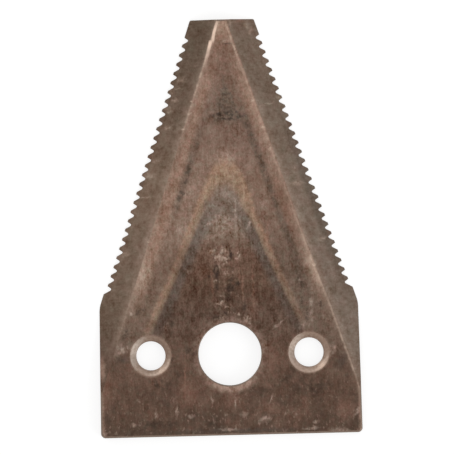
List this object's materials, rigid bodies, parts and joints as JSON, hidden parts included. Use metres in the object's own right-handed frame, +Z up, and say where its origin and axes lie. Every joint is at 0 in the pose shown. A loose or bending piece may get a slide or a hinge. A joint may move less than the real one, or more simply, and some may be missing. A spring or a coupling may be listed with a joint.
{
  "type": "mower sickle section",
  "caption": "Flat tapered steel knife section for a sickle mower, with ground bevels, serrated cutting edges, countersunk rivet holes and a plain centre hole.",
  "frame": {"origin": "axis of the centre hole, in the plane of the underside", "axes": "+Y to the tip, +Z up out of the bevelled face, +X to the right-hand cutting edge"},
  "size_m": [0.0518, 0.0825, 0.0024],
  "materials": {
    "hardened_steel": "brown tempered scale with ground bevels and burnished edges"
  },
  "bodies": {
    "root": {"sickle_section": "hardened_steel"}
  },
  "joints": []
}
